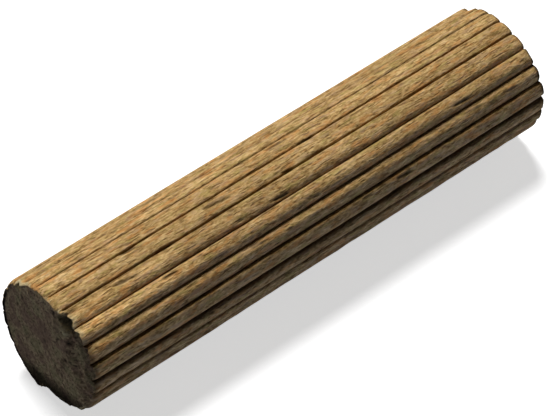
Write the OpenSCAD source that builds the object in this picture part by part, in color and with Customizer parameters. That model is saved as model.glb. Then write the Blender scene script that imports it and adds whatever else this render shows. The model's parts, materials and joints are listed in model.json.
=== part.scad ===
// Fluted wooden dowel pin, sawn off crooked, torn and chipped at one end.
// It lies on two neighbouring ribs, with a flute between them underneath.
// X runs along the pin, from the worn end to the clean end. The origin is on the
// surface that the pin lies on, under the middle of its length.

/* [Pin] */
// Length of the pin over both ends
pin_length = 40; // [24:1:80]
// Diameter of the pin over its ribs
pin_diameter = 9.7; // [8:0.1:14]

/* [Flutes] */
// Number of flutes around the pin
flute_count = 22; // [16:1:24]
// Depth of a flute below the tops of the ribs
flute_depth = 0.45; // [0.4:0.01:0.6]
// Width of a flute's mouth, between the lands on top of two ribs
flute_width = 0.74; // [0.7:0.01:0.8]
// Radius of the pressed shoulder beside a land
shoulder_radius = 0.3; // [0.1:0.01:0.4]
// Radius of the bottom of a flute
root_radius = 0.04; // [0.03:0.01:0.05]

/* [Worn end] */
// Angle by which the sawn face leans back
face_lean = 5.2; // [0:0.1:8]
// Direction in which the face leans back, from the side (0) over the top (90)
lean_direction = 105; // [90:1:180]
// How far the worn rim has lost height below the ribs, at the face
worn_rim_depth = 0.12; // [0.05:0.01:0.6]
// How far the worn rim reaches along the pin
worn_rim_length = 0.25; // [0.1:0.01:1]

/* [Torn strip] */
// Direction of the torn strip around the face
tear_direction = 159; // [120:1:180]
// Distance from the middle of the face to the inner edge of the torn strip
tear_edge = 2.6; // [1.5:0.1:3.4]
// Depth of the slanting step down to the torn strip
tear_step = 0.3; // [0.1:0.05:0.5]
// Angle by which the torn strip falls back beyond the step
tear_angle = 9; // [3:1:20]

/* [Splinter hollow] */
// Direction of the hollow left by a lost splinter
hollow_direction = 118; // [110:1:125]
// Distance from the middle of the face to the hollow
hollow_reach = 4; // [3.4:0.05:4.2]
// Angle between the hollow and the rim beside it
hollow_slant = 20; // [0:1:40]
// Length of the hollow
hollow_length = 1.5; // [1:0.1:2]
// Radius of the hollow at its wide end
hollow_radius = 0.32; // [0.2:0.01:0.4]
// Radius of the hollow at its narrow end
hollow_tip_radius = 0.2; // [0.15:0.01:0.3]
// Depth of the hollow's middle line behind the torn strip
hollow_depth = 0.1; // [0:0.01:0.15]

/* [Chip] */
// Direction of the chip at the underside of the worn rim
chip_direction = 258; // [240:1:280]
// Depth of the chip below the ribs, at the face
chip_depth = 1.75; // [0.8:0.05:2.2]
// Length of the chip along the pin
chip_length = 0.41; // [0.2:0.01:0.8]
// How far the chip runs past its middle, up to the wall where it stops
chip_run = 1.7; // [0.5:0.1:4]

/* [Clean end] */
// Depth of the chamfer below the ribs
chamfer_depth = 0.2; // [0.05:0.01:0.4]
// Length of the chamfer along the pin
chamfer_length = 0.72; // [0.3:0.01:1.5]

/* [Hidden] */
$fn = 96;

wood = [0.64, 0.49, 0.30];
pin_radius = pin_diameter / 2;
spare = 1;                            // how far a cutter runs past what it cuts
shoulder_steps = 5;
root_steps = 2;

// A point at radius r, a degrees round from the middle line of a flute
function polar(r, a) = [r * sin(a), r * cos(a)];

// The section of a flute: a narrow V with a round bottom and rounded shoulders
mouth_angle = asin(flute_width / 2 / pin_radius);
mouth_edge = polar(pin_radius, mouth_angle);
shoulder = min(shoulder_radius, 0.92 * mouth_edge[0] - root_radius);   // leaves room for the root
shoulder_centre = polar(pin_radius - shoulder, mouth_angle);
root_centre = [0, pin_radius - flute_depth + root_radius];
flank_line = shoulder_centre - root_centre;
flank_angle = atan2(flank_line[0], flank_line[1])
    - asin((shoulder + root_radius) / norm(flank_line));
shoulder_turn = flank_angle - 90 - mouth_angle;
root_turn = 90 - flank_angle;
shoulder_points = [for (i = [1 : shoulder_steps])
    shoulder_centre + polar(shoulder, mouth_angle + shoulder_turn * i / shoulder_steps)];
root_points = [for (i = [0 : root_steps])
    root_centre + polar(root_radius, 180 - root_turn * (1 - i / root_steps))];
lip = mouth_edge + (mouth_edge - shoulder_points[0]) / 2;
flute_side = concat([polar(pin_radius + spare, mouth_angle), lip], shoulder_points, root_points);
flute_outline = concat(flute_side,
    [for (i = [len(flute_side) - 2 : -1 : 0]) [-flute_side[i][0], flute_side[i][1]]]);

axis_height = mouth_edge[1];          // the pin lies on the edges of two lands
face_radius = pin_radius - worn_rim_depth;
face_set_back = face_radius * sin(face_lean);

module flute() {
    rotate([90, 0, 90])
        linear_extrude(height = pin_length + 2 * spare, center = true)
            polygon(flute_outline);
}

module fluted_rod() {
    difference() {
        rotate([0, 90, 0])
            cylinder(h = pin_length, r = pin_radius, center = true);
        for (i = [0 : flute_count - 1])
            rotate([180 + i * 360 / flute_count, 0, 0])
                flute();
    }
}

// Everything inside a flat end face and the cone of its rim, from the face towards +X
module rim_cone(depth, length) {
    reach = pin_length + 2 * spare;
    rotate([0, 90, 0])
        cylinder(h = reach, r1 = pin_radius - depth, r2 = pin_radius - depth + reach * depth / length);
}

// Places its children on the sawn face of the worn end, with +X into the pin
module on_worn_face() {
    translate([face_set_back - pin_length / 2, 0, 0])
        rotate([lean_direction - 90, 0, 0])
            rotate([0, face_lean, 0])
                rotate([90 - lean_direction, 0, 0])
                    children();
}

// A strip of the face that tore off behind the saw
module torn_strip() {
    run = pin_diameter - tear_edge;
    foot = tear_edge + tear_step;
    rotate([tear_direction, 0, 0])
        linear_extrude(height = pin_diameter + 2 * spare, center = true)
            polygon([[-spare, tear_edge - spare],
                     [tear_step, foot],
                     [tear_step + run * tan(tear_angle), foot + run],
                     [-spare, foot + run]]);
}

// A tapering hollow in the torn strip, where a splinter came away
module splinter_hollow() {
    beyond_step = hollow_reach * cos(hollow_direction - tear_direction) - tear_edge - tear_step;
    depth = tear_step + beyond_step * tan(tear_angle) + hollow_depth;
    rotate([hollow_direction, 0, 0])
        translate([depth, hollow_reach, 0])
            rotate([hollow_slant, 0, 0])
                cylinder(h = hollow_length, r1 = hollow_radius, r2 = hollow_tip_radius, center = true);
}

// A flat chip off the lower edge of the worn rim, out to the side on one end and
// stopped by a wall on the other
module chip() {
    slope = chip_depth / chip_length;
    start = pin_radius + spare;
    rotate([chip_direction, 0, 0])
        translate([0, 0, -start])
            linear_extrude(height = start + chip_run)
                polygon([[-spare, pin_radius - chip_depth - spare * slope],
                         [chip_length + spare, pin_radius + spare * slope],
                         [-spare, pin_radius + spare * slope]]);
}

module dowel_pin() {
    color(wood)
        translate([0, 0, axis_height])
            difference() {
                intersection() {
                    fluted_rod();
                    on_worn_face() rim_cone(worn_rim_depth, worn_rim_length);
                    translate([pin_length / 2, 0, 0])
                        rotate([0, 180, 0])
                            rim_cone(chamfer_depth, chamfer_length);
                }
                on_worn_face() {
                    torn_strip();
                    splinter_hollow();
                    chip();
                }
            }
}

dowel_pin();
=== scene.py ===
"""A worn, fluted beech dowel pin, lying on a pale floor in soft studio light.

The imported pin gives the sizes. The script wraps one closed mesh of carved, torn and fluted wood
around the same axis, and it stands for the CAD node. Lengths are in millimetres until MM turns
them into metres. Angles go round the pin's axis in degrees, from +Y (0) over the top (90).
A name that ends in SIDE holds the four angles that window() takes. One that ends in RISE or FADE
holds the two values between which something gets stronger or weaker. They are places along the
pin, unless a comment says otherwise. One that ends in BLACK says how black a place is, where 1 is
fully black.
"""
import json
import math

import bpy
import numpy as np
from mathutils import Matrix, Vector, noise


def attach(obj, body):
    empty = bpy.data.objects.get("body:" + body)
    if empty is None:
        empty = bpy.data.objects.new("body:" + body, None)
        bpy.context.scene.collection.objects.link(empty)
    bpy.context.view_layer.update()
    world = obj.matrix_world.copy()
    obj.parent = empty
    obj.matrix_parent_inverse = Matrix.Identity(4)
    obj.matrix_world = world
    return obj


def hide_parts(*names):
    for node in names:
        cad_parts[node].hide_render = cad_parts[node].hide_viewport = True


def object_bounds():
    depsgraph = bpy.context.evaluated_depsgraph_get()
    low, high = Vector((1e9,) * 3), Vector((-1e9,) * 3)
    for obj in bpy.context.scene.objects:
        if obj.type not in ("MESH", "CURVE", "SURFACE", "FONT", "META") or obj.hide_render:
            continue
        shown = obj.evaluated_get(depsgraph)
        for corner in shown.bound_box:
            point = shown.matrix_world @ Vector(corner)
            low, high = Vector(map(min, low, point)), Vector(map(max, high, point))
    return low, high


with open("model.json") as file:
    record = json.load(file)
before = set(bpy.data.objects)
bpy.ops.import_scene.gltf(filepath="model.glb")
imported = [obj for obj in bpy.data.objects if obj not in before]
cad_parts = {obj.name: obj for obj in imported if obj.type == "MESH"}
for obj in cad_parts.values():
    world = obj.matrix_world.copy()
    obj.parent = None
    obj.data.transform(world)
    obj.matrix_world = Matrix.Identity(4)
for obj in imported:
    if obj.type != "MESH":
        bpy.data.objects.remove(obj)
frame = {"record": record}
cad_box = [list(corner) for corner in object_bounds()]

MM = 0.001

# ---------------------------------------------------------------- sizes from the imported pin
RIBS = frame["record"]["mounts"][0]
PIN_RADIUS = RIBS["dims"]["r_mm"]
AXIS_HEIGHT = RIBS["pos_m"][2] / MM
NEAR_X = cad_box[0][0] / MM
FAR_X = cad_box[1][0] / MM
LENGTH = FAR_X - NEAR_X

# ---------------------------------------------------------------- flutes
# Flutes are numbered round the pin, and a rib has the number of the flute before it.
FLUTES = 22
PITCH = 360 / FLUTES
FIRST_FLUTE = 270                     # the flute between the two ribs that the pin lies on
FLUTE_DEPTH = 0.45
FLUTE_HALF_WIDTH = (0.085, 0.128)     # clean, and on the grimy side
ROOT_ROUNDING = 0.018
SHOULDER_BLEND = 0.035
LEAST_FALL = 0.15                     # how steep even a shallow flute's flanks are
WIDTH_VARIATION = 0.22                # share by which a flute's width varies along it
DEPTH_VARIATION = 0.1                 # share of that by which its depth varies
VARIATION_LENGTH = 4.5
TWIST = -1.5                          # degrees over the whole length
BOW = 0.25                            # degrees to either side
WANDER = 0.3                          # degrees
WANDER_LENGTH = 6.5
FLUTE_STRIDE = 7.3                    # how far apart two flutes lie in the noise that bends them
WIDTH_STRIDE = 5.1                    # and in the noise that varies their widths
# Degrees by which single flutes are off their even places
FLUTE_SHIFT = {3: 2.4, 4: 2.4, 5: 1.7, 6: 1.3, 7: 1.0, 8: 2.6, 9: 3.1, 10: 0.9, 11: 0.3, 12: -0.2,
               13: 0.8, 14: 0.7, 15: 1.4, 16: 1.0, 18: -2.2}
# How many times wider and deeper single flutes are, and how many times more grime and painted
# shade they hold
FLUTE_WIDENING = {8: 2.4, 9: 2.4, 15: 0.85, 16: 1.25, 17: 1.15}
FLUTE_DEEPENING = {8: 0.75, 9: 0.7}
FLUTE_GRIME_AND_SHADE = {8: 0.45, 9: 0.45, 11: 0.75, 12: 0.38, 13: 0.5, 14: 0.45, 15: 0.9, 16: 0.84, 17: 0.7}
GRIME_AND_SHADE_SIDE = (125, 165, 300, 360)     # where the flutes are widest and darkest, with grime and painted shade
CLEAN_GRIME_AND_SHADE = 0.55                     # share of the grime and painted shade that they hold elsewhere
GRIME_AND_SHADE_SPREAD = 0.2                     # how far grime and painted shade spread out of a flute, in depths of it
LOWER_GRIME_AND_SHADE_SPREAD = 0.25              # how much further where the crowns are round
GRIME_AND_SHADE_BELOW = {15: -0.5, 16: 0.3}      # how much further below a flute than above it; below flute 16 it paints the shadow on the next rib's upper flank

# ---------------------------------------------------------------- ribs
LOWER_SIDE = (108, 138, 300, 360)     # where the crowns are round, not rubbed
RUBBED_CROWN = 3.6                    # radius of a rib's crown where it is rubbed
ROUND_CROWN = 0.85
FLAT_BELOW = {15: 0.85}               # how flat the crown is from a flute down to the rib's middle
RIB_SWELL = {7: 0.09}                 # how much a rib stands out above the others
RIDGED_SIDE = (103, 112, 134, 142)    # where the upper half of a rib is a flat slope
RIDGE_SLOPE = 0.34
RIDGE_ROUNDING = 0.05
RIDGE_FADE = (-15, -4)
PRESSED_SIDE = (102, 116, 116, 132)   # where a rib's lower shoulder is pressed down
PRESSED_FROM = 0.27                   # from the rib's middle line to the pressed shoulder
PRESSED_RADIUS = 0.9
PRESSED_RISE = (-13, 3)
PRESSED_START = 0.2                   # how strongly it is pressed before that
LEANING_RIB = 14                      # a rib that slopes down flatly along its whole lower half
LEAN_FROM = -0.3
LEAN_SLOPE = 0.22
LEAN_ROUNDING = 0.1
LEAN_FLATNESS = 0.6
LEAN_RISE = (-28, -4)

# ---------------------------------------------------------------- fibres and cracks of the side
ROUGH_SIDE = (95, 150, 320, 360)      # where the wood isn't rubbed smooth
RUBBED_ROUGHNESS = 0.55               # share of the roughness that is left elsewhere
FIBRE_SIZE = (1.1, 0.2, 0.2)
FIBRE_HEIGHT = 0.018
TORN_PATCH_SIZE = (3.2, 0.8, 0.8)
TORN_PATCH_RISE = (0.1, 0.55)         # values of the noise between which the wood gets torn
TORN_PATCH_DEPTH = 0.025
TORN_FIBRE_HEIGHT = 1.8               # how much higher fibres stand in a torn patch, as a share
WAVE_SIZE = (7.0, 2.5, 2.5)
WAVE_HEIGHT = 0.022
# Middle (from the worn end), angle, length and drift in degrees of the larger cracks
CRACKS = [(14.2, 97.5, 2.4, 3.6), (5.9, 113.0, 2.0, 2.4), (1.25, 110.8, 1.6, 0.6),
          (8.6, 127.6, 1.2, 0.8), (9.3, 106.5, 1.5, 0.8), (7.3, 92.8, 1.3, 0.4),
          (20.4, 78.5, 1.6, 1.0), (18.2, 120.8, 1.4, 0.6), (22.2, 90.4, 1.4, 0.5),
          (33.4, 133.0, 1.5, 0.8), (19.7, 105.8, 1.0, 0.6), (27.2, 161.0, 1.4, 1.0)]
CRACK_HALF_WIDTH = 0.085
CRACK_DEPTH = 0.12
CRACK_FLATNESS = 1.5                  # how wide its flat bottom is
CRACK_BLACK = 0.68
WEAK_CRACK_WIDTH = 0.6                # share of the width that the weakest cracks have
SMALL_CRACKS = 110
# From least to most: middle, angle, length, drift and strength of the small cracks
SMALL_CRACK_RANGES = [(1, 39), (0, 360), (0.4, 1.3), (-0.5, 1.2), (0.3, 0.7)]
CRACK_SEED = 12

# ---------------------------------------------------------------- painted light on the ribs by the worn end
PAINTED_LIGHT_SIDE = (103, 122, 132, 137)
PAINTED_LIGHT_FADE = (-18, -6)
PAINTED_LIGHT_SHARE = 0.5                       # share of the painted light's lift

# ---------------------------------------------------------------- worn end: the sawn face
FACE_LEAN = 5.2
LEAN_DIRECTION = 105
STREAK_DIRECTION = -131               # direction of the saw's streaks
STREAK_SIZE = (2.6, 0.3, 1)           # along and across them
STREAK_HEIGHT = 0.022
BUNDLES = [(1.3, 0.4, 31.0), (0.6, 0.17, 7.0)]  # of fibres: strength, size and seed
BUNDLE_HEIGHT = (0.03, 0.07)          # on the sawn and on the torn face
# Small pits, painted black inside as their shade: y, z and radius
PITS = [(-2.0, 0.56, 0.14), (-2.55, 0.83, 0.16), (-2.3, 2.4, 0.17), (-2.08, 1.45, 0.15),
        (-0.8, 4.1, 0.18), (0.15, 0.45, 0.1), (2.6, 2.7, 0.12), (3.1, 1.6, 0.11),
        (-1.25, 1.95, 0.1), (-2.0, 2.4, 0.09), (-1.65, -1.25, 0.1)]
PIT_DEPTH = 0.1
# Streaks of painted shade by the torn strip: middle (y, z), direction, half length and half width
SHADE_STREAKS = [(-1.25, 2.75, 90, 1.6, 0.35), (-2.4, 1.8, 90, 0.9, 0.25), (-1.9, -0.1, -65, 1.2, 0.25)]
SHADE_STREAK_BLACK = 0.32

# ---------------------------------------------------------------- worn end: the torn strip
TEAR_DIRECTION = 159
TEAR_EDGE = 2.9                       # from the middle of the face to the strip
TEAR_WAVES = [(0.22, 1.1, 5.0), (0.06, 0.3, 15.0)]  # of that edge: height, size and seed
TEAR_STEP = 0.32
TEAR_STEP_ROUNDING = 0.1
TEAR_BLEND = 0.5                      # how far past the edge the wood is fully torn
TEAR_ANGLE = 8.5
TEAR_FADE = (-1.5, 2.5)               # along the edge, where the step gets lower
TEAR_FADING = 0.55                    # how much lower, as a share
FOOT_MIDDLE = 0.15                    # of the painted shade at the foot of the step, from the edge
FOOT_HALF_WIDTH = 0.3
FOOT_SHADE_BLACK = 0.6
FRAY_LENGTH = 0.12                    # of the fibres at the strip's rim
FRAY_SIZE = 0.06                      # radians round the rim
# Painted shadow: a black line on the face along the torn strip's rim
TORN_EDGE_SIDE = (112, 122, 176, 200)
TORN_EDGE_RISE = (0.74, 0.86)         # shares of the pin's radius
TORN_EDGE_SHADOW_BLACK = 0.4

# ---------------------------------------------------------------- worn end: the splinter's hollow
HOLLOW_DIRECTION = 116.3
HOLLOW_REACH = 4.33                   # from the middle of the face
HOLLOW_SLANT = 15
HOLLOW_HALF_LENGTH = 0.7
HOLLOW_HALF_WIDTH = 0.2
HOLLOW_DEPTH = 0.42
# Painted shade: the hollow and the wood round it are coloured black
HOLLOW_SHADE_BLACK = 0.72
HOLLOW_SHADE_HALF_WIDTH = (0.3, 0.5)         # of the painted shade round the hollow, inwards and outwards
SPLINTER = (-1.95, 3.15)              # a pale splinter left standing beside the hollow (y, z)
SPLINTER_SIZE = (0.2, 0.08)           # its half length and half width
SPLINTER_HEIGHT = 0.08

# ---------------------------------------------------------------- worn end: the chip
CHIP_DIRECTION = 258
CHIP_REACH = 3.1                      # where the chip starts on the face
CHIP_LENGTH = 0.41
CHIP_RUN = 1.5                        # along the chip, to the wall that ends it
CHIP_WALL = 3.3                       # slope of that wall
CHIP_WAVES = 0.06                     # how ragged the chip's edge is
CHIP_WAVE_SIZE = 0.09                 # radians round the rim
LEAST_FACING = 0.3                    # share of a radius that points at the chip, where it ends
LEAST_SLOPE = 0.05
CHIP_BLACK = 0.7
CHIP_BLACK_RISE = (CHIP_REACH - 0.7, CHIP_REACH + 0.1)
CHIP_EDGE_BLACK = 0.85                # on the side, from the chip's edge
CHIP_EDGE_RISE = (0, 0.15)            # depths of the chip
CHIP_PALING = 0.25                    # how much less black it is where it is deep
CHIP_PALING_RISE = (0.7, 1.7)
STEEP_SIDE = (205, 220, 226, 252)     # where the chip is narrower and steeper
STEEPENING = 1.6                      # by which shares of its slope and reach
NARROWING = 0.14
BLACK_PATCH_DIRECTION = 285                 # direction of the black patch beside the chip
BLACK_PATCH_SIDE = (264, 272, 288, 314)
BLACK_PATCH_BLACK = 0.85
BLACK_PATCH_RISE = (CHIP_REACH - 0.1, CHIP_REACH + 0.5)

# ---------------------------------------------------------------- worn end: the rim
WORN_RIM_DEPTH = 0.16
WORN_RIM_LENGTH = 0.32
RIM_WAVES = 0.4                       # share by which the wear varies round the rim
RIM_WAVE_SIZE = 0.07                  # radians
RIM_RISE = (0.84, 0.95)               # where the rim's nicks and fibres start, in pin radii
SHARP_SIDE = (270, 284, 372, 405)     # where the rim is hardly worn
SHARPNESS = 0.95                      # share of the wear that is missing there
TORN_SIDE = (105, 120, 190, 210)      # where the strip tore off
TORN_SHARPNESS = 0.6
ROUNDED_SIDE = (186, 202, 224, 240)   # where the rim is worn round
ROUNDED_DEPTH = 0.14                  # how much deeper, and how much further along the pin
ROUNDED_LENGTH = 0.35
ROUNDED_FADE = (0.25, 0.7)            # from the rim, how far its end grain shows
RIM_SHADOW_SIDE = (127, 143, 225, 240)     # where the ribs are black at the worn rim, as painted shadow
RIM_SHADOW = 0.62
RIM_SHADOW_FADE = (0.05, 0.3)               # from the rim
RIM_SHADOW_WAVES = 0.35                     # how much further it reaches in places
RIM_SHADOW_WAVE_SIZE = 0.08                 # radians
BLACK_RIM_RISE = (0.9, 0.95)              # where the face is black at its sharp rim, in pin radii
TORN_PALENESS = 0.5                   # of the fibres at the rim of the torn strip
TORN_PALE_FADE = (0.1, 0.45)
FRAYED_SIDE = (42, 48, 62, 68)        # where pale fibres stick out all along the rim
FRAYED_SIZE = 0.05                    # radians, of the tufts of fibres that stick out elsewhere
FRAYED_RISE = (0.1, 0.5)
FRAYED_PALENESS = 0.9
FRAYED_FADE = (0.05, 0.3)
# Where the rim has lost its flutes, and how much of their depth is lost there
BARE_SIDES = [(0.88, (205, 225, 300, 312)), (0.5, (300, 312, 395, 420)),
              (0.88, (395, 420, 467, 475))]
BARE_FROM = (0.1, 0.4)                # from the rim, where flutes come back, usually and below
BARE_TO = (0.5, 1.1)                  # and where they are whole again
BELOW_RISE = (0.75, 0.92)             # shares of a radius that point at the chip
# Angle, depth and half width in degrees of nicks (and of splinters left standing) in the rim
NICKS = [(45, -0.1, 2.0), (49.5, 0.2, 2.2), (58, -0.18, 3.0), (64.5, 0.06, 2.0), (78, 0.08, 2.5),
         (105, 0.08, 1.3), (115, 0.14, 3.5), (144, 0.07, 2.2), (150, -0.1, 2.0)]
OPEN_NICK = 0.1                       # depth from which a nick is painted black, as its shade
NICK_BLACK = 0.7

# ---------------------------------------------------------------- clean end
CHAMFER_DEPTH = 0.2
CHAMFER_LENGTH = 0.6
CHAMFER_ROUNDNESS = 0.92              # 1 is a quarter of an ellipse, and less a shallower arc
BEVEL_SPARE = 0.08                    # how far above the ribs the chamfer's surface starts
BEVEL_BLEND = 0.03
ROOT_SHARE = (0.8, 0.3)               # share of the chamfer at the flutes' roots, above and below
FLARE = 0.3                           # how much the flutes widen towards the end
FLARE_LENGTH = 1.2
TIP_CROWN = 1.3                       # radius of a rib's crown at its very end
TIP_LENGTH = 0.9
BLUNTNESS = 1.1                       # how many times CHAMFER_DEPTH the chamfer is deep
BLUNT_SIDE = (75, 90, 105, 120)       # where it is deeper
BLUNTER = 0.4
CRISP_SIDE = (128, 148, 164, 185)     # where it is shallower
CRISPER = 0.8
SHARP_END_SIDE = (330, 350, 402, 434)  # where there is none
SHARPER = 1.15
END_NOTCH = 48.5                      # where a bit of the end's rim is lost
END_NOTCH_HALF_WIDTH = 5              # degrees
END_NOTCH_DEPTH = 0.3
END_NOTCH_RISE = (1, 0.2)             # from the end's face
END_DARKENING = (0.6, 0.95)                # how much darker the chamfer is, above and below
END_DARKENING_RISE = (0.45, 0.9)
END_WAVES = 0.02                      # how uneven the end's face is
END_WAVE_SIZE = 0.5

# ---------------------------------------------------------------- mesh
SEEN_ANGLES = (20, 216)               # between which the columns are finer
FINE_COLUMNS = 24
PLAIN_COLUMNS = 13
COLUMN_CROWDING = 0.08                # how much closer together columns are at a flute
SIDE_RINGS = 178
FACE_RINGS = 38
INNER_FACE_RINGS = 11
INNER_FACE = 0.62                     # share of the radius up to which the face's rings are wide
FAR_FACE_RINGS = 9
RIM_GUESS = 0.5                       # from the worn end, where the search for the rim starts
RIM_SEARCHES = 4
CIRCLE_REACH = 1.04                   # most that a face ring's even circle may reach past the rim
RIM_LIKENESS = 6                      # the higher, the fewer of the face's rings follow the flutes
# Distances of the closest rings from the worn rim, and from the clean end
NEAR_STEPS = [0, 0.03, 0.07, 0.12, 0.18, 0.25, 0.33, 0.43, 0.55, 0.7, 0.88, 1.1]
FAR_STEPS = [0.9, 0.72, 0.58, 0.46, 0.35, 0.26, 0.18, 0.11, 0.06, 0.025, 0.008, 0]

# ---------------------------------------------------------------- colours and surface
DARK_FIBRE = (0.16, 0.087, 0.029)
MIDDLE_FIBRE = (0.49, 0.308, 0.119)
PALE_FIBRE = (0.78, 0.54, 0.253)
ORANGE_WOOD = (0.60, 0.26, 0.075)
OLIVE_WOOD = (0.38, 0.32, 0.09)
GREY_WOOD = (0.47, 0.305, 0.185)
BROWN_WOOD = (0.27, 0.165, 0.06)
FLECK = (0.12, 0.062, 0.022)
# Lift by which the painted light multiplies the ribs' colour near the worn end
PAINTED_LIGHT_LIFT = (1.75, 1.72, 1.66)
FRESH_FIBRE = (0.70, 0.57, 0.31)
# Colour of the grime and painted shade in and beside the flutes, of the darker chamfer and of the
# painted shadow at the worn rim
GRIME_AND_SHADE = (0.026, 0.014, 0.007)
# Black of the dark mask: black marks, and painted shade in the hollow, pits, open nicks, at the
# step's foot and along the torn edge
BLACK_MARKS_AND_SHADE = (0.005, 0.0035, 0.003)
DARK_BUNDLE = (0.13, 0.083, 0.037)
PALE_BUNDLE = (0.455, 0.311, 0.148)
SAW_STREAK = (0.089, 0.06, 0.026)
BROWN_STAIN = (0.187, 0.107, 0.061)
OLIVE_STAIN = (0.268, 0.226, 0.091)
PORE = (0.045, 0.028, 0.016)
PALE_SPLINTER = (0.55, 0.45, 0.22)
GRIME_AND_SHADE_COVER = 0.97
FLECK_STRENGTH = 0.5
FLECK_DEPTH = 0.3                     # as a share of BUMP_HEIGHT
BUMP_HEIGHT = 0.14
ROUGHNESS = (0.92, 0.68)              # of dark and of pale fibres
FLOOR_SEEN = (0.8, 0.8, 0.8)
FLOOR_BOUNCE = (0.45, 0.53, 0.80)
WHITE = (1, 1, 1, 1)

# ---------------------------------------------------------------- camera and light
CAMERA_AZIMUTH = -38.838
CAMERA_ELEVATION = 50.46
CAMERA_ROLL = 1.85                    # about the pin's axis
CAMERA_DISTANCE = 35.078              # in pin radii
CAMERA_SHIFT = (0.077, 0.078)         # to the right and up, in pin radii
FOCAL_SHARE = 2497.1 / 550            # focal length over the width of the sensor
KEY_ELEVATION = 63
KEY_SIDEWAYS = 0.22                   # how far towards the clean end it stands
KEY_STRENGTH = math.pi * 1.14
KEY_SPREAD = 22
FLOOR_GLOW = 0.62
ROOM_LIGHT = 0.02
FLOOR_REACH = 3.0                     # metres


def smoothstep(low, high, value):
    """0 below low, 1 above high, and a smooth rise between them."""
    share = np.clip((value - low) / (high - low), 0, 1)
    return share * share * (3 - 2 * share)


def fade(low, high, value):
    """1 below low, 0 above high, and a smooth fall between them."""
    return 1 - smoothstep(low, high, value)


def between(ends, share):
    """The first of two values where share is 0, and the second where it is 1."""
    return ends[0] + (ends[1] - ends[0]) * share


def smooth_max(a, b, blend):
    """The larger of a and b, rounded over blend where they cross."""
    return (a + b + np.sqrt((a - b) ** 2 + blend ** 2)) / 2


def window(angle, appear, full, leave, gone):
    """1 from full to leave and 0 from gone round to appear, for angles in degrees."""
    turn = (angle - appear) % 360
    return smoothstep(0, full - appear, turn) * fade(leave - appear, gone - appear, turn)


def across(angle, direction):
    """The share of a radius at angle that points in direction."""
    return np.cos(np.radians(angle - direction))


def noise_field(x, y, z, size, seed=0.0):
    """Smooth noise between about -1 and 1 at points, with features of size (x, y, z)."""
    flat = np.stack(np.broadcast_arrays(x, y, z), -1).reshape(-1, 3) / np.array(size) + seed
    values = [noise.noise(point) for point in flat.tolist()]
    return np.array(values).reshape(np.broadcast(x, y, z).shape)


def rim_noise(angle, size, seed):
    """Noise round the pin, with features of size radians."""
    return noise_field(np.radians(angle), 0.0, 0.0, (size, 1, 1), seed)


def face_noise(y, z, size, seed):
    """Noise over an end's face."""
    return noise_field(y, z, 0.0, (size, size, 1), seed)


# ---------------------------------------------------------------- columns of the mesh
def flute_angles(index, x):
    """Angle of the middle of flute number index at x."""
    along = (x - NEAR_X) / LENGTH - 0.5
    number = index % FLUTES
    wander = noise_field(x, number * FLUTE_STRIDE, 0.0, (WANDER_LENGTH, 1, 1))
    return (FIRST_FLUTE + index * PITCH + FLUTE_SHIFT.get(number, 0.0)
            + TWIST * along + BOW * (1 - 8 * along * along) + WANDER * wander)


def column_plan():
    """For each column of the mesh, the flute before it and its share of the way to the next."""
    plan = []
    for index in range(FLUTES):
        middle = (FIRST_FLUTE + (index + 0.5) * PITCH) % 360
        count = FINE_COLUMNS if SEEN_ANGLES[0] < middle < SEEN_ANGLES[1] else PLAIN_COLUMNS
        for step in range(count):
            share = step / count
            plan.append((index, share - COLUMN_CROWDING * math.sin(2 * math.pi * share)))
    return plan


PLAN = column_plan()
CELL = np.array([index for index, share in PLAN])  # number of each column's rib
SHARE = np.array([share for index, share in PLAN])
UPPER_HALF = SHARE < 0.5              # of a rib, on the camera's side
LOWER_HALF = SHARE > 0.5


def column_angles(x):
    """Angle of each column at x, which holds one value for each column, and its rib's width."""
    angles = np.empty_like(x)
    widths = np.empty_like(x)
    for index in range(FLUTES):
        here = CELL == index
        before = flute_angles(index, x[..., here])
        after = flute_angles(index + 1, x[..., here])
        if index == FLUTES - 1:
            after = flute_angles(0, x[..., here]) + 360
        angles[..., here] = before + (after - before) * SHARE[here]
        widths[..., here] = after - before
    return angles, widths


def for_each(numbers, table, usual):
    """The table's value for each number, and the usual value where it has none."""
    return np.array([table.get(int(number), usual) for number in numbers])


# ---------------------------------------------------------------- ribs and flutes
def crown_radius(x, lower, leaning):
    """Radius of the ribs' crowns, which is smaller on the lower side and at the clean end."""
    flat = for_each(CELL, FLAT_BELOW, 0.0) * UPPER_HALF
    flat = flat + LEAN_FLATNESS * leaning * LOWER_HALF
    crown = 1 / (1 / RUBBED_CROWN + (1 / ROUND_CROWN - 1 / RUBBED_CROWN) * lower * (1 - flat))
    tip = smoothstep(FAR_X - TIP_LENGTH, FAR_X, x)
    return 1 / (1 / crown + np.maximum(1 / TIP_CROWN - 1 / crown, 0) * tip)


def crown_profile(x, angle, from_crown, crown, leaning):
    """Depth of the ribs' crowns below their tops."""
    drop = crown - np.sqrt(crown ** 2 - from_crown ** 2)
    past_lean = np.maximum(from_crown - LEAN_FROM, 0)
    lean = np.sqrt(past_lean ** 2 + LEAN_ROUNDING ** 2) - LEAN_ROUNDING
    drop += leaning * LEAN_SLOPE * lean
    ridge = np.sqrt(RIDGE_ROUNDING ** 2 + (RIDGE_SLOPE * from_crown) ** 2) - RIDGE_ROUNDING
    ridged = window(angle, *RIDGED_SIDE) * fade(*RIDGE_FADE, x) * (from_crown < 0)
    shoulder = np.maximum(from_crown - PRESSED_FROM, 0) ** 2 / (2 * PRESSED_RADIUS)
    pressed = between((PRESSED_START, 1), smoothstep(*PRESSED_RISE, x))
    pressed = pressed * window(angle, *PRESSED_SIDE)
    return drop + (ridge - drop) * ridged + pressed * shoulder


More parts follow.
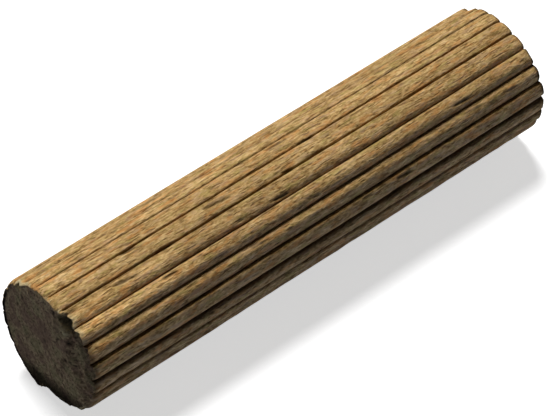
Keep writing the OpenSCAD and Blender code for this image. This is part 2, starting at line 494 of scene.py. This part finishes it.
def rib_profile(x, angle, width):
    """Depth below the ribs' tops, and the grime and painted shade at each point (0 to 1)."""
    arc = np.radians(width) * PIN_RADIUS
    from_crown = (SHARE - 0.5) * arc
    from_root = np.minimum(SHARE, 1 - SHARE) * arc
    lower = window(angle, *LOWER_SIDE)
    leaning = (CELL == LEANING_RIB) * smoothstep(*LEAN_RISE, x)
    crown = crown_radius(x, lower, leaning)
    crown_drop = crown_profile(x, angle, from_crown, crown, leaning)

    near_flute = np.where(UPPER_HALF, CELL, CELL + 1) % FLUTES
    variation = noise_field(x, near_flute * WIDTH_STRIDE, 3.0, (VARIATION_LENGTH, 1, 1))
    strength = 1 + WIDTH_VARIATION * variation
    grimy_shaded = window(angle, *GRIME_AND_SHADE_SIDE)
    half_width = between(FLUTE_HALF_WIDTH, grimy_shaded)
    half_width = half_width * strength * for_each(near_flute, FLUTE_WIDENING, 1.0)
    half_width = half_width * (1 + FLARE * grimy_shaded * smoothstep(FAR_X - FLARE_LENGTH, FAR_X, x))
    deep = FLUTE_DEPTH * (1 - DEPTH_VARIATION + DEPTH_VARIATION * strength)
    deep = deep * for_each(near_flute, FLUTE_DEEPENING, 1.0)
    edge_drop = crown - np.sqrt(crown ** 2 - (arc / 2 - half_width) ** 2)
    fall = np.maximum(deep - edge_drop, LEAST_FALL)
    groove = deep - fall * np.sqrt(from_root ** 2 + ROOT_ROUNDING ** 2) / half_width
    swell = for_each(CELL, RIB_SWELL, 0.0) * (1 - (2 * SHARE - 1) ** 2)
    depth = smooth_max(crown_drop, groove, SHOULDER_BLEND) - swell

    # Grime and painted shade: the flutes and their edges get darker, most on the side away from
    # the key light
    below = for_each(near_flute, GRIME_AND_SHADE_BELOW, 0.0) * UPPER_HALF
    spread = GRIME_AND_SHADE_SPREAD + LOWER_GRIME_AND_SHADE_SPREAD * lower + below
    grime_and_shade = np.clip((groove - crown_drop) / fall + spread, 0, 1)
    return depth, grime_and_shade * between((CLEAN_GRIME_AND_SHADE, 1), grimy_shaded) * for_each(near_flute, FLUTE_GRIME_AND_SHADE, 1.0)


def wood_relief(x, angle):
    """Height of the fibres and of the slow waves of the rubbed ribs."""
    y = PIN_RADIUS * np.cos(np.radians(angle))
    z = PIN_RADIUS * np.sin(np.radians(angle))
    rough = between((RUBBED_ROUGHNESS, 1), window(angle, *ROUGH_SIDE))
    fibres = noise_field(x, y, z, FIBRE_SIZE)
    torn = smoothstep(*TORN_PATCH_RISE, noise_field(x, y, z, TORN_PATCH_SIZE, 11.0))
    waves = noise_field(x, y, z, WAVE_SIZE, 23.0)
    height = FIBRE_HEIGHT * rough * fibres * (1 + TORN_FIBRE_HEIGHT * torn)
    return height - TORN_PATCH_DEPTH * torn * rough + WAVE_HEIGHT * waves


def crack_list():
    """The larger cracks, and small ones scattered over the whole side."""
    random = np.random.RandomState(CRACK_SEED)
    small = [[random.uniform(*ends) for ends in SMALL_CRACK_RANGES] for _ in range(SMALL_CRACKS)]
    return [(*crack, 1.0) for crack in CRACKS] + small


def crack_field(x, angle):
    """How far each point lies in a crack, from 0 to 1."""
    field = np.zeros_like(x)
    for middle, direction, length, drift, strength in crack_list():
        along = (x - NEAR_X - middle) / (length / 2)
        off = (angle - direction - drift * along / 2 + 180) % 360 - 180
        half_width = CRACK_HALF_WIDTH * between((WEAK_CRACK_WIDTH, 1), strength)
        beside = np.radians(off) * PIN_RADIUS / half_width
        here = np.sqrt(np.clip(1 - along ** 2, 0, 1)) * np.exp(-beside ** 2)
        field = np.maximum(field, strength * np.minimum(CRACK_FLATNESS * here, 1))
    return field


# ---------------------------------------------------------------- worn end's face
def face_place(y, z, middle, direction):
    """Place along and across a line on the face through middle."""
    turn = math.radians(direction)
    dy, dz = y - middle[0], z - middle[1]
    return dy * math.cos(turn) + dz * math.sin(turn), dz * math.cos(turn) - dy * math.sin(turn)


def torn_strip(y, z, radius, angle):
    """How far the torn strip lies back, where it is (0 to 1), and the painted shade at its step's
    foot.
    """
    ragged = sum(height * face_noise(y, z, size, seed) for height, size, seed in TEAR_WAVES)
    beyond = radius * across(angle, TEAR_DIRECTION) - TEAR_EDGE + ragged
    down_edge = radius * across(angle, TEAR_DIRECTION + 90)
    strength = 1 - TEAR_FADING * smoothstep(*TEAR_FADE, down_edge)
    step = TEAR_STEP * strength * smoothstep(0, TEAR_STEP + TEAR_STEP_ROUNDING, beyond)
    slope = math.tan(math.radians(TEAR_ANGLE)) * np.maximum(beyond - TEAR_STEP * strength, 0)
    torn = smoothstep(0, TEAR_BLEND, beyond)
    foot_shade = torn * np.exp(-((beyond - FOOT_MIDDLE) / FOOT_HALF_WIDTH) ** 2) * strength
    return step + slope, torn, foot_shade


def end_grain_relief(y, z, torn):
    """Depth of the bundles of fibres and of the saw's streaks."""
    bundles = sum(strength * face_noise(y, z, size, seed) for strength, size, seed in BUNDLES)
    along, side = face_place(y, z, (0, 0), STREAK_DIRECTION)
    streaks = noise_field(along, side, 0.0, STREAK_SIZE, 19.0)
    return between(BUNDLE_HEIGHT, torn) * bundles + STREAK_HEIGHT * streaks


def splinter_hollow(y, z):
    """Where the splinter's hollow, the painted shade round it and the splinter beside it are (0 to
    1).
    """
    middle = (HOLLOW_REACH * math.cos(math.radians(HOLLOW_DIRECTION)),
              HOLLOW_REACH * math.sin(math.radians(HOLLOW_DIRECTION)))
    direction = HOLLOW_DIRECTION + 90 + HOLLOW_SLANT
    along, side = face_place(y, z, middle, direction)
    ends = (along / HOLLOW_HALF_LENGTH) ** 4
    hollow = np.exp(-ends - (side / HOLLOW_HALF_WIDTH) ** 4)
    inward = np.maximum(side, 0) / HOLLOW_SHADE_HALF_WIDTH[0]
    outward = np.maximum(-side, 0) / HOLLOW_SHADE_HALF_WIDTH[1]
    black = np.exp(-ends - inward ** 4 - outward ** 4)
    along, side = face_place(y, z, SPLINTER, direction)
    splinter = np.exp(-(along / SPLINTER_SIZE[0]) ** 2 - (side / SPLINTER_SIZE[1]) ** 2)
    return hollow, black, splinter * (1 - hollow)


def pit_field(y, z):
    """Where the pits are (0 to 1)."""
    field = np.zeros_like(y)
    for pit_y, pit_z, size in PITS:
        field = np.maximum(field, np.exp(-((y - pit_y) ** 2 + (z - pit_z) ** 2) / size ** 2))
    return field


def shade_streak_field(y, z):
    """Where the streaks of painted shade are (0 to 1)."""
    field = np.zeros_like(y)
    for middle_y, middle_z, direction, half_length, half_width in SHADE_STREAKS:
        along, side = face_place(y, z, (middle_y, middle_z), direction)
        field = np.maximum(field, np.exp(-(along / half_length) ** 4 - (side / half_width) ** 2))
    return field


def rim_nicks(angle, rim):
    """Depth of the nicks in the rim, and where they are open (0 to 1)."""
    depth, field = np.zeros_like(angle), np.zeros_like(angle)
    for direction, nick_depth, half_width in NICKS:
        share = rim * np.exp(-((angle - direction) / half_width) ** 2)
        depth += nick_depth * share
        field = np.maximum(field, share if nick_depth > OPEN_NICK else 0)
    return depth, field


def face_black(y, z, radius, angle):
    """Blackness of the chip's edge, the patch by it, the sharp rim, and painted shade at the torn
    edge and in streaks.
    """
    chip_edge = smoothstep(*CHIP_BLACK_RISE, radius * across(angle, CHIP_DIRECTION))
    stain = smoothstep(*BLACK_PATCH_RISE, radius * across(angle, BLACK_PATCH_DIRECTION))
    stain = stain * window(angle, *BLACK_PATCH_SIDE)
    black_rim = smoothstep(*BLACK_RIM_RISE, radius / PIN_RADIUS) * window(angle, *SHARP_SIDE)
    torn_edge_shadow = smoothstep(*TORN_EDGE_RISE, radius / PIN_RADIUS) * window(angle, *TORN_EDGE_SIDE)
    return np.maximum.reduce([CHIP_BLACK * chip_edge, BLACK_PATCH_BLACK * stain, black_rim,
                              TORN_EDGE_SHADOW_BLACK * torn_edge_shadow, SHADE_STREAK_BLACK * shade_streak_field(y, z)])


def face_x(y, z):
    """X of the worn face, and how dark and how pale its holes and splinters are."""
    radius = np.hypot(y, z)
    angle = np.degrees(np.arctan2(z, y))
    rim = smoothstep(*RIM_RISE, radius / PIN_RADIUS)
    set_back = (PIN_RADIUS - WORN_RIM_DEPTH) * math.sin(math.radians(FACE_LEAN))
    lean = math.tan(math.radians(FACE_LEAN)) * radius * across(angle, LEAN_DIRECTION)
    tear, torn, foot_shade = torn_strip(y, z, radius, angle)
    fray = FRAY_LENGTH * torn * rim * rim_noise(angle, FRAY_SIZE, 50.0)
    hollow, hollow_shade, splinter = splinter_hollow(y, z)
    pits = pit_field(y, z)
    nicks, open_nicks = rim_nicks(angle, rim)

    height = NEAR_X + set_back + lean + tear + end_grain_relief(y, z, torn) + fray + nicks
    height += HOLLOW_DEPTH * hollow + PIT_DEPTH * pits - SPLINTER_HEIGHT * splinter
    # The dark mask holds black marks, and painted shade in the hollow, the pits, the open nicks
    # and at the step's foot
    dark = np.maximum.reduce([face_black(y, z, radius, angle), HOLLOW_SHADE_BLACK * hollow_shade, pits,
                              FOOT_SHADE_BLACK * foot_shade, NICK_BLACK * open_nicks])
    return height, dark, splinter


# ---------------------------------------------------------------- side
def chip_radius(angle, from_rim):
    """Radius of the flat chip below the worn rim, which a wall ends on one side."""
    facing = across(angle, CHIP_DIRECTION)
    steep = window(angle, *STEEP_SIDE)
    slope = CHIP_LENGTH / (PIN_RADIUS - CHIP_REACH) * facing * (1 + STEEPENING * steep)
    slope = slope + math.tan(math.radians(FACE_LEAN)) * across(angle, LEAN_DIRECTION)
    wall = CHIP_WALL * np.maximum(PIN_RADIUS * across(angle, CHIP_DIRECTION + 90) - CHIP_RUN, 0)
    flat = CHIP_REACH * (1 + NARROWING * steep) / np.maximum(facing, LEAST_FACING)
    flat = flat + from_rim / np.maximum(slope, LEAST_SLOPE) + wall
    flat = flat + CHIP_WAVES * rim_noise(angle, CHIP_WAVE_SIZE, 9.0)
    return np.where(facing > LEAST_FACING, flat, 2 * PIN_RADIUS)


def flutes_left(angle, from_rim):
    """Share of the flutes' depth that is left at the worn rim."""
    below = smoothstep(*BELOW_RISE, across(angle, CHIP_DIRECTION))
    bare = sum(loss * window(angle, *side) for loss, side in BARE_SIDES)
    return 1 - bare * fade(between(BARE_FROM, below), between(BARE_TO, below), from_rim)


def rim_wear(angle, from_rim):
    """How much of the radius is worn off at the worn rim."""
    rounded = window(angle, *ROUNDED_SIDE)
    sharp = TORN_SHARPNESS * window(angle, *TORN_SIDE) + SHARPNESS * window(angle, *SHARP_SIDE)
    worn = WORN_RIM_DEPTH * (1 + RIM_WAVES * rim_noise(angle, RIM_WAVE_SIZE, 3.0)) * (1 - sharp)
    length = WORN_RIM_LENGTH + ROUNDED_LENGTH * rounded
    return (worn + ROUNDED_DEPTH * rounded) * np.clip(1 - from_rim / length, 0, 1) ** 2


def chamfered(radius, x, angle, past):
    """The radius with the chamfer and the notch of the clean end taken off."""
    blunt = BLUNTNESS + BLUNTER * window(angle, *BLUNT_SIDE) - CRISPER * window(angle, *CRISP_SIDE)
    blunt -= SHARPER * window(angle, *SHARP_END_SIDE)
    turn_in = 1 - np.sqrt(1 - CHAMFER_ROUNDNESS * past ** 2)
    turn_in = turn_in / (1 - math.sqrt(1 - CHAMFER_ROUNDNESS))
    drop = CHAMFER_DEPTH * blunt * turn_in
    bevel = PIN_RADIUS + BEVEL_SPARE * (1 - turn_in) - drop
    root_drop = between(ROOT_SHARE, window(angle, *LOWER_SIDE)) * drop
    off = (angle - END_NOTCH + 180) % 360 - 180
    notch = END_NOTCH_DEPTH * np.exp(-(off / END_NOTCH_HALF_WIDTH) ** 2)
    notch = notch * smoothstep(FAR_X - END_NOTCH_RISE[0], FAR_X - END_NOTCH_RISE[1], x)
    return -smooth_max(root_drop - radius, -bevel, BEVEL_BLEND) - notch


def pale_fibres(angle, from_rim):
    """How pale the wood is at the worn rim, where it was torn and where fibres stick out."""
    torn_rim = window(angle, *TORN_SIDE)
    pale = TORN_PALENESS * torn_rim * fade(*TORN_PALE_FADE, from_rim)
    pale = pale * (1 - window(angle, *RIM_SHADOW_SIDE))
    tufts = smoothstep(*FRAYED_RISE, rim_noise(angle, FRAYED_SIZE, 77.0))
    tufts = np.maximum(tufts, window(angle, *FRAYED_SIDE)) * (1 - torn_rim)
    return np.maximum(pale, FRAYED_PALENESS * tufts * fade(*FRAYED_FADE, from_rim))


def side_radius(x, angle, width, from_rim):
    """Radius at x, and the side's grime and painted shade, darkness, paleness, bare end grain and
    painted light.
    """
    depth, grime_and_shade = rib_profile(x, angle, width)
    left = flutes_left(angle, from_rim)
    cracks = crack_field(x, angle)
    past = np.clip(1 - (FAR_X - x) / CHAMFER_LENGTH, 0, 1)
    radius = PIN_RADIUS - depth * left + wood_relief(x, angle) - CRACK_DEPTH * cracks
    radius = chamfered(radius - rim_wear(angle, from_rim), x, angle, past)
    chip = chip_radius(angle, from_rim)
    lost = radius - chip
    chipped = lost > 0

    chip_black = CHIP_EDGE_BLACK * smoothstep(*CHIP_EDGE_RISE, lost)
    chip_black -= CHIP_PALING * smoothstep(*CHIP_PALING_RISE, lost)
    dark = np.maximum(CRACK_BLACK * cracks, chip_black)
    pale = pale_fibres(angle, from_rim) * (1 - grime_and_shade)
    end_darkening = between(END_DARKENING, window(angle, *LOWER_SIDE)) * smoothstep(*END_DARKENING_RISE, past)
    # Painted shadow: black along the worn rim on the side away from the key light
    rim_shadow_end = RIM_SHADOW_FADE[1] + RIM_SHADOW_WAVES * (0.5 + rim_noise(angle, RIM_SHADOW_WAVE_SIZE, 61.0))
    rim_shadow = RIM_SHADOW * window(angle, *RIM_SHADOW_SIDE) * fade(RIM_SHADOW_FADE[0], rim_shadow_end, from_rim)
    grime_and_shade = np.maximum.reduce([grime_and_shade * np.where(chipped, 0, left), end_darkening, rim_shadow])
    rounded = window(angle, *ROUNDED_SIDE) * fade(*ROUNDED_FADE, from_rim)
    bared = np.where(chipped, 1, rounded)
    # Painted light: ribs near the worn end are lighter, where their crowns catch more of the key
    # light
    painted_light = PAINTED_LIGHT_SHARE * window(angle, *PAINTED_LIGHT_SIDE) * fade(*PAINTED_LIGHT_FADE, x)
    return np.minimum(radius, chip), grime_and_shade, dark, pale, bared, painted_light


# ---------------------------------------------------------------- mesh
def worn_rim(angle, width):
    """X of the worn rim, where the side meets the face."""
    rim_x = np.full_like(angle, NEAR_X + RIM_GUESS)
    for _ in range(RIM_SEARCHES):
        rim_r = side_radius(rim_x, angle, width, np.zeros_like(rim_x))[0]
        rim_x = face_x(rim_r * np.cos(np.radians(angle)), rim_r * np.sin(np.radians(angle)))[0]
    return rim_x


def side_places(rim_x):
    """X of the side's rings, which are closest together at both ends."""
    count = SIDE_RINGS - len(NEAR_STEPS) - len(FAR_STEPS)
    share = (np.arange(count) + 1)[:, None] / (count + 1)
    start = rim_x + NEAR_STEPS[-1]
    body = start + (FAR_X - FAR_STEPS[0] - start) * share
    far_rings = np.repeat(FAR_X - np.array(FAR_STEPS)[:, None], rim_x.shape[1], 1)
    return np.concatenate([rim_x + np.array(NEAR_STEPS)[:, None], body, far_rings])


def face_radii(rim_r):
    """Radii of the worn face's rings, which are even circles but for the outermost."""
    inner = np.linspace(0, INNER_FACE, INNER_FACE_RINGS + 1)[1:]
    outer = np.linspace(INNER_FACE, 1, FACE_RINGS - INNER_FACE_RINGS + 1)[1:-1]
    shares = np.concatenate([inner, outer])[:, None]
    nearby = range(-FINE_COLUMNS // 2, FINE_COLUMNS // 2 + 1)
    even = sum(np.roll(rim_r, step) for step in nearby) / len(nearby)
    even = np.minimum(even, CIRCLE_REACH * rim_r)
    return shares * (even + (rim_r - even) * shares ** RIM_LIKENESS)


def grid_faces(rings, columns):
    """The quads of a closed grid of rings, and the triangles that close its two ends at hubs."""
    step = np.arange(columns)
    after = (step + 1) % columns
    quads = []
    for ring in range(rings - 1):
        here, there = ring * columns, (ring + 1) * columns
        quads += np.stack([here + step, here + after, there + after, there + step], -1).tolist()
    near_hub, far_hub = rings * columns, rings * columns + 1
    last = (rings - 1) * columns
    caps = [(near_hub, int(b), int(a)) for a, b in zip(step, after)]
    caps += [(far_hub, int(last + a), int(last + b)) for a, b in zip(step, after)]
    return quads + caps


def build_pin_mesh():
    """The pin as one closed grid: worn face, side and clean end's face."""
    columns = len(PLAN)
    rim_x = worn_rim(*column_angles(np.full((1, columns), NEAR_X + RIM_GUESS)))
    side_x = side_places(rim_x)
    angle, width = column_angles(side_x)
    side_r, grime_and_shade, side_dark, side_pale, bared, painted_light = side_radius(side_x, angle, width,
                                                                      side_x - rim_x)
    side_y = side_r * np.cos(np.radians(angle))
    side_z = side_r * np.sin(np.radians(angle))
    side_x[0] = face_x(side_y[0], side_z[0])[0]

    face_r = face_radii(side_r[0])
    face_y = face_r * np.cos(np.radians(angle[0]))
    face_z = face_r * np.sin(np.radians(angle[0]))
    face_height, face_dark, face_pale = face_x(face_y, face_z)

    end_shares = np.linspace(1, 0, FAR_FACE_RINGS + 1)[1:-1, None]
    end_y, end_z = end_shares * side_y[-1], end_shares * side_z[-1]
    end_waves = END_WAVES * (1 + face_noise(end_y, end_z, END_WAVE_SIZE, 41.0))
    end_height = FAR_X - end_waves * (1 - end_shares ** 4)

    face_plain, end_plain = np.zeros_like(face_height), np.zeros_like(end_height)
    masks = {"grime_and_shade": (face_plain, grime_and_shade, end_plain),
             "painted_light": (face_plain, painted_light, end_plain),
             "end_grain": (face_plain + 1, bared, end_plain + 1),
             "dark": (face_dark, side_dark, end_plain),
             "pale": (face_pale, side_pale, end_plain)}

    rings = [np.concatenate(parts) for parts in ((face_height, side_x, end_height),
                                                 (face_y, side_y, end_y), (face_z, side_z, end_z))]
    near_middle = [face_x(np.zeros(1), np.zeros(1))[0][0], 0.0, 0.0]
    points = np.stack(rings, -1).reshape(-1, 3)
    points = np.vstack([points, near_middle, [FAR_X - END_WAVES, 0.0, 0.0]])
    points[:, 2] += AXIS_HEIGHT

    mesh = bpy.data.meshes.new("dowel_pin_wood")
    mesh.from_pydata((points * MM).tolist(), [], grid_faces(len(rings[0]), columns))
    mesh.validate()
    mesh.polygons.foreach_set("use_smooth", [True] * len(mesh.polygons))
    for name, parts in masks.items():
        hub = 1 if name == "end_grain" else 0
        values = np.concatenate([part.ravel() for part in parts] + [[hub, hub]])
        layer = mesh.attributes.new(name, "FLOAT", "POINT")
        layer.data.foreach_set("value", values.astype(np.float32))
    mesh.update()
    return mesh


# ---------------------------------------------------------------- materials
class Shader:
    """Adds nodes to a material or world. An input is a value, or another node's socket."""

    def __init__(self, owner):
        owner.use_nodes = True
        self.tree = owner.node_tree
        self.tree.nodes.clear()

    def add(self, kind, inputs=None, **settings):
        node = self.tree.nodes.new(kind)
        for name, value in settings.items():
            setattr(node, name, value)
        for name, value in (inputs or {}).items():
            socket = node.inputs[name]
            if isinstance(value, bpy.types.NodeSocket):
                self.tree.links.new(value, socket)
            else:
                socket.default_value = value
        return node

    def math(self, operation, a, b=0.0):
        return self.add("ShaderNodeMath", {0: a, 1: b}, operation=operation).outputs[0]

    def attribute(self, name):
        return self.add("ShaderNodeAttribute", attribute_name=name).outputs["Fac"]

    def noise(self, place, size, detail=2.0, roughness=0.5, offset=(0.0, 0.0, 0.0)):
        """Noise between about 0.2 and 0.8, with features of size (x, y, z) in millimetres."""
        scale = [1 / (length * MM) for length in size]
        spot = self.add("ShaderNodeMapping", {"Vector": place, "Scale": scale, "Location": offset})
        node = self.add("ShaderNodeTexNoise", {"Vector": spot.outputs[0], "Scale": 1.0,
                                               "Detail": detail, "Roughness": roughness})
        return node.outputs["Fac"]

    def ramp(self, value, low, high, strength=1.0):
        """0 below low and strength above high."""
        return self.add("ShaderNodeMapRange", {"Value": value, "From Min": low, "From Max": high,
                                               "To Max": strength},
                        interpolation_type="SMOOTHSTEP").outputs[0]

    def mix(self, share, a, b, blend="MIX"):
        """Colour a where share is 0, and b where it is 1."""
        node = self.add("ShaderNodeMix", data_type="RGBA", blend_type=blend, clamp_factor=True)
        for socket, value in ((node.inputs[0], share), (node.inputs[6], a), (node.inputs[7], b)):
            if isinstance(value, bpy.types.NodeSocket):
                self.tree.links.new(value, socket)
            else:
                socket.default_value = (*value, 1.0)
        return node.outputs[2]


def side_grain(s, place):
    """Tone of the fibres of the side, and where its short dark flecks are."""
    fine = s.noise(place, (0.5, 0.17, 0.17), 2.0, 0.6)
    strand = s.noise(place, (1.8, 0.38, 0.38), 2.0, 0.55, (1.0, 6.0, 2.0))
    speck = s.noise(place, (0.22, 0.09, 0.09), 1.0, 0.5, (5.0, 3.0, 8.0))
    fibre = s.math("ADD", s.math("MULTIPLY", fine, 0.45), s.math("MULTIPLY", strand, 0.3))
    fibre = s.math("ADD", fibre, s.math("MULTIPLY", speck, 0.25))
    fleck = s.ramp(s.noise(place, (1.0, 0.13, 0.13), 1.0, 0.5, (2.0, 8.0, 1.0)), 0.6, 0.69)
    return fibre, fleck


def side_colour(s, place, fibre, fleck):
    """Brown wood in several hues: flecks, painted light on some ribs, pale fibres, grime and
    painted shade in flutes.
    """
    hue = s.noise(place, (1.3, 0.4, 0.4), 2.0, 0.6, (3.0, 5.0, 7.0))
    ashen = s.noise(place, (1.0, 0.3, 0.3), 2.0, 0.6, (7.0, 2.0, 5.0))
    broad = s.noise(place, (16.0, 3.0, 3.0), 2.0, 0.5, (9.0, 1.0, 4.0))
    tone = s.add("ShaderNodeValToRGB", {"Fac": fibre})
    stops = tone.color_ramp.elements
    stops[0].position, stops[0].color = 0.36, (*DARK_FIBRE, 1)
    stops[1].position, stops[1].color = 0.64, (*PALE_FIBRE, 1)
    stops.new(0.5).color = (*MIDDLE_FIBRE, 1)
    wood = s.mix(s.ramp(hue, 0.52, 0.66, 0.5), tone.outputs[0], ORANGE_WOOD)
    wood = s.mix(s.ramp(hue, 0.46, 0.32, 0.4), wood, OLIVE_WOOD)
    wood = s.mix(s.ramp(ashen, 0.52, 0.64, 0.42), wood, GREY_WOOD)
    wood = s.mix(s.ramp(broad, 0.62, 0.35, 0.22), wood, BROWN_WOOD)
    wood = s.mix(s.math("MULTIPLY", fleck, FLECK_STRENGTH), wood, FLECK)
    wood = s.mix(s.attribute("painted_light"), wood, PAINTED_LIGHT_LIFT, "MULTIPLY")
    wood = s.mix(s.attribute("pale"), wood, FRESH_FIBRE)
    return s.mix(s.math("MULTIPLY", s.attribute("grime_and_shade"), GRIME_AND_SHADE_COVER), wood, GRIME_AND_SHADE)


def end_colour(s, place):
    """Dark, stained end grain with bundles of fibres, the saw's streaks and pores."""
    bundle = s.noise(place, (0.5, 0.22, 0.22), 3.0, 0.6, (4.0, 4.0, 4.0))
    pore = s.noise(place, (0.5, 0.17, 0.17), 1.0, 0.5, (6.0, 2.0, 9.0))
    turned = s.add("ShaderNodeMapping", {"Vector": place,
                                         "Rotation": (-math.radians(STREAK_DIRECTION), 0, 0)})
    streak = s.noise(turned.outputs[0], (3.0, 1.6, 0.3), 2.0, 0.5, (8.0, 2.0, 5.0))
    stain = s.noise(place, (3.0, 1.1, 1.1), 2.0, 0.5, (1.0, 9.0, 3.0))
    end = s.mix(s.ramp(bundle, 0.25, 0.75), DARK_BUNDLE, PALE_BUNDLE)
    end = s.mix(s.ramp(streak, 0.5, 0.66, 0.45), end, SAW_STREAK)
    end = s.mix(s.ramp(stain, 0.5, 0.62, 0.6), end, BROWN_STAIN)
    end = s.mix(s.ramp(stain, 0.5, 0.38, 0.4), end, OLIVE_STAIN)
    end = s.mix(s.ramp(pore, 0.6, 0.7, 0.65), end, PORE)
    return s.mix(s.attribute("pale"), end, PALE_SPLINTER)


def wood_material():
    """Raw beech, brown with age: fibres, flecks, grime and painted shade in the flutes, black
    marks and painted shade, rough end grain.
    """
    material = bpy.data.materials.new("aged_beech")
    s = Shader(material)
    place = s.add("ShaderNodeTexCoord").outputs["Object"]
    fibre, fleck = side_grain(s, place)
    colour = s.mix(s.attribute("end_grain"), side_colour(s, place, fibre, fleck),
                   end_colour(s, place))
    colour = s.mix(s.attribute("dark"), colour, BLACK_MARKS_AND_SHADE)
    height = s.math("SUBTRACT", fibre, s.math("MULTIPLY", fleck, FLECK_DEPTH))
    bump = s.add("ShaderNodeBump", {"Height": height, "Strength": 1.0,
                                    "Distance": BUMP_HEIGHT * MM})
    roughness = s.add("ShaderNodeMapRange", {"Value": fibre, "To Min": ROUGHNESS[0],
                                             "To Max": ROUGHNESS[1]})
    surface = s.add("ShaderNodeBsdfPrincipled",
                    {"Base Color": colour, "Roughness": roughness.outputs[0],
                     "Specular IOR Level": 0.0, "Normal": bump.outputs[0]})
    s.add("ShaderNodeOutputMaterial", {"Surface": surface.outputs[0]})
    return material


def seen_directly(s):
    """1 for rays from the camera, in mirrors and through glass, and 0 for light that bounces."""
    path = s.add("ShaderNodeLightPath")
    seen = s.math("MAXIMUM", path.outputs["Is Camera Ray"], path.outputs["Is Glossy Ray"])
    return s.math("MAXIMUM", seen, path.outputs["Is Transmission Ray"])


def floor_material():
    """White where it is seen, with the pin's shadow on it, and a bluish bounce on the pin."""
    material = bpy.data.materials.new("pale_floor")
    s = Shader(material)
    seen = seen_directly(s)
    diffuse = s.add("ShaderNodeBsdfDiffuse", {"Color": s.mix(seen, FLOOR_BOUNCE, FLOOR_SEEN)})
    glow = s.add("ShaderNodeEmission", {"Color": WHITE,
                                        "Strength": s.math("MULTIPLY", seen, FLOOR_GLOW)})
    both = s.add("ShaderNodeAddShader", {0: diffuse.outputs[0], 1: glow.outputs[0]})
    s.add("ShaderNodeOutputMaterial", {"Surface": both.outputs[0]})
    return material


def add_white_world():
    """A white backdrop that lights the pin like a dim, even room."""
    world = bpy.data.worlds.new("studio")
    s = Shader(world)
    strength = s.add("ShaderNodeMapRange", {"Value": seen_directly(s), "To Min": ROOM_LIGHT,
                                            "To Max": 1.0})
    back = s.add("ShaderNodeBackground", {"Color": WHITE, "Strength": strength.outputs[0]})
    s.add("ShaderNodeOutputWorld", {"Surface": back.outputs[0]})
    bpy.context.scene.world = world


# ---------------------------------------------------------------- stage
def add_object(name, data):
    thing = bpy.data.objects.new(name, data)
    bpy.context.scene.collection.objects.link(thing)
    return thing


def add_key_lamp():
    """A soft sun from above and behind the pin."""
    lamp = bpy.data.lights.new("key", "SUN")
    lamp.energy = KEY_STRENGTH
    lamp.angle = math.radians(KEY_SPREAD)
    elevation = math.radians(KEY_ELEVATION)
    toward_lamp = Vector((KEY_SIDEWAYS, math.cos(elevation), math.sin(elevation)))
    holder = add_object("key", lamp)
    holder.rotation_euler = toward_lamp.to_track_quat("Z", "Y").to_euler()


def add_floor():
    reach = FLOOR_REACH
    mesh = bpy.data.meshes.new("floor")
    corners = [(-reach, -reach, 0), (reach, -reach, 0), (reach, reach, 0), (-reach, reach, 0)]
    mesh.from_pydata(corners, [], [(0, 1, 2, 3)])
    mesh.materials.append(floor_material())
    add_object("floor", mesh)


def add_camera():
    """Long lens from the worn end's side, looking down on the pin."""
    azimuth, elevation = math.radians(CAMERA_AZIMUTH), math.radians(CAMERA_ELEVATION)
    shift_right, shift_up = (share * PIN_RADIUS * MM for share in CAMERA_SHIFT)
    axis = Vector((0, 0, AXIS_HEIGHT * MM))
    back = Vector((math.sin(azimuth) * math.cos(elevation),
                   -math.cos(azimuth) * math.cos(elevation), math.sin(elevation)))
    right = Vector((math.cos(azimuth), math.sin(azimuth), 0))
    up = back.cross(right)
    lens = bpy.data.cameras.new("camera")
    lens.sensor_width = 36
    lens.lens = FOCAL_SHARE * lens.sensor_width
    lens.clip_start = 0.01
    camera = add_object("camera", lens)
    view = Matrix((right, up, back)).transposed().to_4x4()
    view.translation = (back * (CAMERA_DISTANCE * PIN_RADIUS * MM)
                        - right * shift_right - up * shift_up + axis)
    roll = Matrix.Rotation(math.radians(CAMERA_ROLL), 4, "X")
    camera.matrix_world = Matrix.Translation(axis) @ roll @ Matrix.Translation(-axis) @ view
    bpy.context.scene.camera = camera


def add_pin():
    mesh = build_pin_mesh()
    mesh.materials.append(wood_material())
    pin = add_object("fluted_pin", mesh)
    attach(pin, "root")
    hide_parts("dowel_pin")


add_camera()
add_floor()
add_white_world()
add_key_lamp()
bpy.context.scene.view_settings.view_transform = "Standard"
add_pin()
